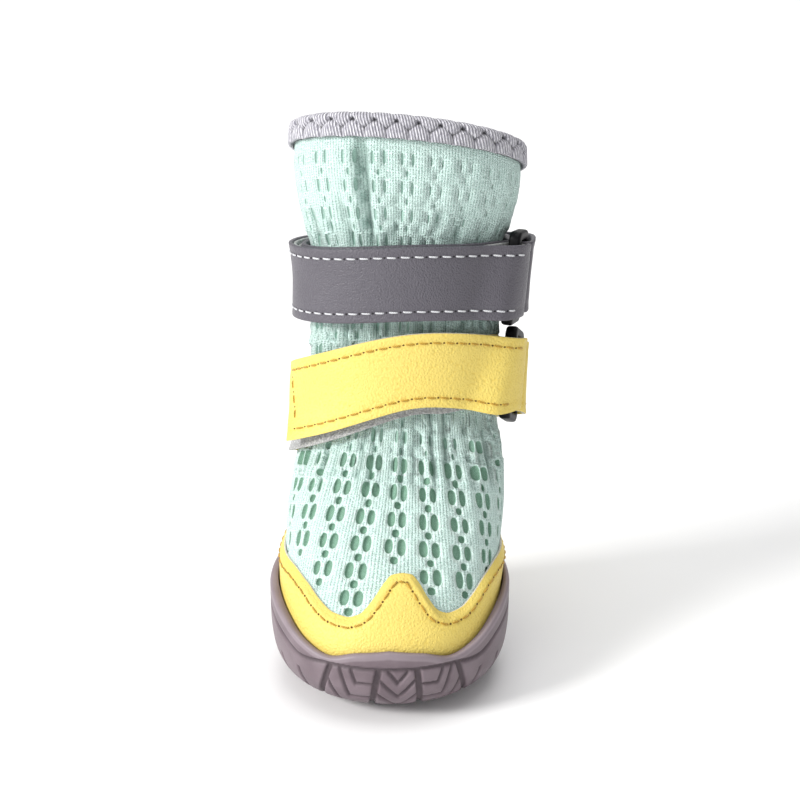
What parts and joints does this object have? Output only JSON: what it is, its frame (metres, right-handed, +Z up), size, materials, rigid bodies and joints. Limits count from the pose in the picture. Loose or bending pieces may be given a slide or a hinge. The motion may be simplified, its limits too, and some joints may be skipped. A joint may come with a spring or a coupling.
{
  "type": "dog boot",
  "caption": "Knitted dog boot with a flared ribbed collar, cupped rubber sole, leather toe and heel guard, and fold-back straps through plastic rings.",
  "frame": {"origin": "on the flat face of the lug in the middle of the sole, on the plane the boot stands on", "axes": "+Z up, -Y towards the toe, +X towards the side with the rings"},
  "size_m": [0.0582, 0.0753, 0.1192],
  "materials": {
    "knit": "openwork knit, matte",
    "lining": "smooth knitted lining, matte",
    "rubber_sole": "moulded, matte",
    "insole_felt": "felt, matte",
    "yellow_leather": "fine grain, satin",
    "grey_leather": "fine grain, satin",
    "binding_knit": "melange rib knit, matte",
    "ring_plastic": "moulded, glossy",
    "loop_lining": "brushed loop tape",
    "ochre_thread": "sewing thread",
    "white_thread": "sewing thread"
  },
  "bodies": {
    "root": {"upper": "knit", "sole": "rubber_sole", "insole": "insole_felt", "guard": "yellow_leather", "collar_binding": "binding_knit", "lower_strap": "yellow_leather", "lower_ring_tab": "yellow_leather", "lower_ring": "ring_plastic", "upper_strap": "grey_leather", "upper_ring_tab": "grey_leather", "upper_ring": "ring_plastic"}
  },
  "joints": []
}
